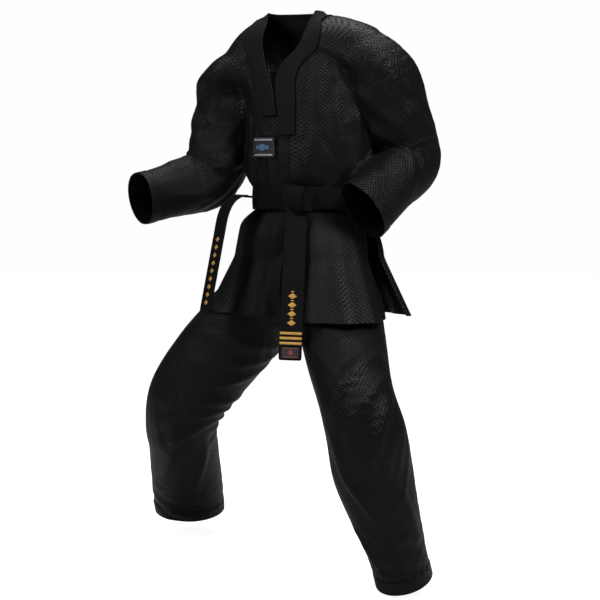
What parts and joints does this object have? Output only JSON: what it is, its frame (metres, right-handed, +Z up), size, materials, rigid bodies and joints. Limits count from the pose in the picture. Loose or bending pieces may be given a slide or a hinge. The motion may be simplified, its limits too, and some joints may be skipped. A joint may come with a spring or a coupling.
{
  "type": "martial arts uniform",
  "caption": "Black V-neck martial arts uniform, jacket, trousers and knotted belt, filled out in a low fighting stance, with sleeves, legs, skirt panels and belt ends that move.",
  "frame": {"origin": "centre of the neck opening, level with the base of the collar", "axes": "+Z up; the viewer in front of the uniform looks along +Y, with +X to the viewer's right, which is the wearer's left"},
  "size_m": [0.7202, 0.7775, 1.2696],
  "materials": {
    "ribbed_cloth": "raised diamond weave with a soft sheen",
    "collar_cloth": "flat ribbed band, matte",
    "belt_cloth": "dense cotton webbing with parallel stitching",
    "waistband_elastic": "gathered elastic",
    "gold_thread": "satin embroidery thread",
    "label_cloth": "woven label",
    "patch_cloth": "embroidered patch"
  },
  "bodies": {
    "root": {"jacket_front_left": "ribbed_cloth", "jacket_front_right": "ribbed_cloth", "jacket_back": "ribbed_cloth", "collar_left": "collar_cloth", "collar_right": "collar_cloth", "collar_back": "collar_cloth", "chest_patch": "patch_cloth", "trouser_waistband": "waistband_elastic", "trouser_seat": "ribbed_cloth", "crotch_gusset": "ribbed_cloth", "belt_wrap": "belt_cloth", "belt_knot": "belt_cloth"},
    "sleeve_upper_left": {"sleeve_upper_left": "ribbed_cloth"},
    "sleeve_lower_left": {"sleeve_lower_left": "ribbed_cloth", "cuff_left": "ribbed_cloth"},
    "leg_upper_left": {"leg_upper_left": "ribbed_cloth"},
    "leg_lower_left": {"leg_lower_left": "ribbed_cloth", "hem_left": "ribbed_cloth"},
    "skirt_front_left": {"skirt_front_left": "ribbed_cloth"},
    "sleeve_upper_right": {"sleeve_upper_right": "ribbed_cloth"},
    "sleeve_lower_right": {"sleeve_lower_right": "ribbed_cloth", "cuff_right": "ribbed_cloth"},
    "leg_upper_right": {"leg_upper_right": "ribbed_cloth"},
    "leg_lower_right": {"leg_lower_right": "ribbed_cloth", "hem_right": "ribbed_cloth"},
    "skirt_front_right": {"skirt_front_right": "ribbed_cloth"},
    "skirt_back": {"skirt_back": "ribbed_cloth"},
    "tail_front": {"belt_tail_front": "belt_cloth", "rank_bars": "gold_thread", "belt_end_label": "label_cloth"},
    "tail_side": {"belt_tail_side": "belt_cloth"}
  },
  "joints": [
    {"name": "shoulder_left", "type": "hinge", "parent": "root", "child": "sleeve_upper_left", "pos_m": [0.172, -0.07, -0.095], "axis": [-0.915, 0.4035, 0], "range_deg": [0, 100]},
    {"name": "elbow_left", "type": "hinge", "parent": "sleeve_upper_left", "child": "sleeve_lower_left", "pos_m": [0.268, -0.025, -0.3], "axis": [-0.6815, 0.7135, -0.1625], "range_deg": [-85, 25]},
    {"name": "shoulder_right", "type": "hinge", "parent": "root", "child": "sleeve_upper_right", "pos_m": [-0.15, 0.072, -0.115], "axis": [-0.915, 0.4035, 0], "range_deg": [-20, 95]},
    {"name": "elbow_right", "type": "hinge", "parent": "sleeve_upper_right", "child": "sleeve_lower_right", "pos_m": [-0.192, 0.1, -0.345], "axis": [-0.6291, 0.7495, 0.2061], "range_deg": [-74, 25]},
    {"name": "hip_left", "type": "hinge", "parent": "root", "child": "leg_upper_left", "pos_m": [0.095, -0.042, -0.6], "axis": [-0.9882, -0.1529, 0], "range_deg": [-6, 28]},
    {"name": "knee_left", "type": "hinge", "parent": "leg_upper_left", "child": "leg_lower_left", "pos_m": [0.138, -0.32, -0.843], "axis": [0.9694, -0.0586, 0.2386], "range_deg": [-62, 30]},
    {"name": "hip_right", "type": "hinge", "parent": "root", "child": "leg_upper_right", "pos_m": [-0.06, 0.04, -0.62], "axis": [0.2654, 0.9641, 0], "range_deg": [-6, 22]},
    {"name": "knee_right", "type": "hinge", "parent": "leg_upper_right", "child": "leg_lower_right", "pos_m": [-0.278, 0.1, -0.888], "axis": [0.4751, -0.6934, -0.5417], "range_deg": [-46, 30]},
    {"name": "skirt_front_left_lift", "type": "hinge", "parent": "root", "child": "skirt_front_left", "pos_m": [0.0605, -0.102, -0.436], "axis": [-0.9993, -0.037, 0], "range_deg": [-7, 31]},
    {"name": "skirt_front_right_lift", "type": "hinge", "parent": "root", "child": "skirt_front_right", "pos_m": [-0.0871, 0.0082, -0.436], "axis": [-0.1585, 0.9874, 0], "range_deg": [-5, 18]},
    {"name": "skirt_back_lift", "type": "hinge", "parent": "root", "child": "skirt_back", "pos_m": [0.0744, 0.084, -0.436], "axis": [0.8839, -0.4676, 0], "range_deg": [0, 40]},
    {"name": "tail_front_swing", "type": "hinge", "parent": "root", "child": "tail_front", "pos_m": [-0.002, -0.128, -0.422], "axis": [-1, 0, 0], "range_deg": [-12, 60]},
    {"name": "tail_side_swing", "type": "hinge", "parent": "root", "child": "tail_side", "pos_m": [-0.106, -0.02, -0.384], "axis": [-0.4035, -0.915, 0], "range_deg": [0, 40]}
  ],
  "couplings": [
    {"joint": "tail_front_swing", "follows": "hip_left", "ratio": 1.1},
    {"joint": "skirt_front_left_lift", "follows": "hip_left", "ratio": 1.1},
    {"joint": "skirt_front_right_lift", "follows": "hip_right", "ratio": 0.8}
  ]
}
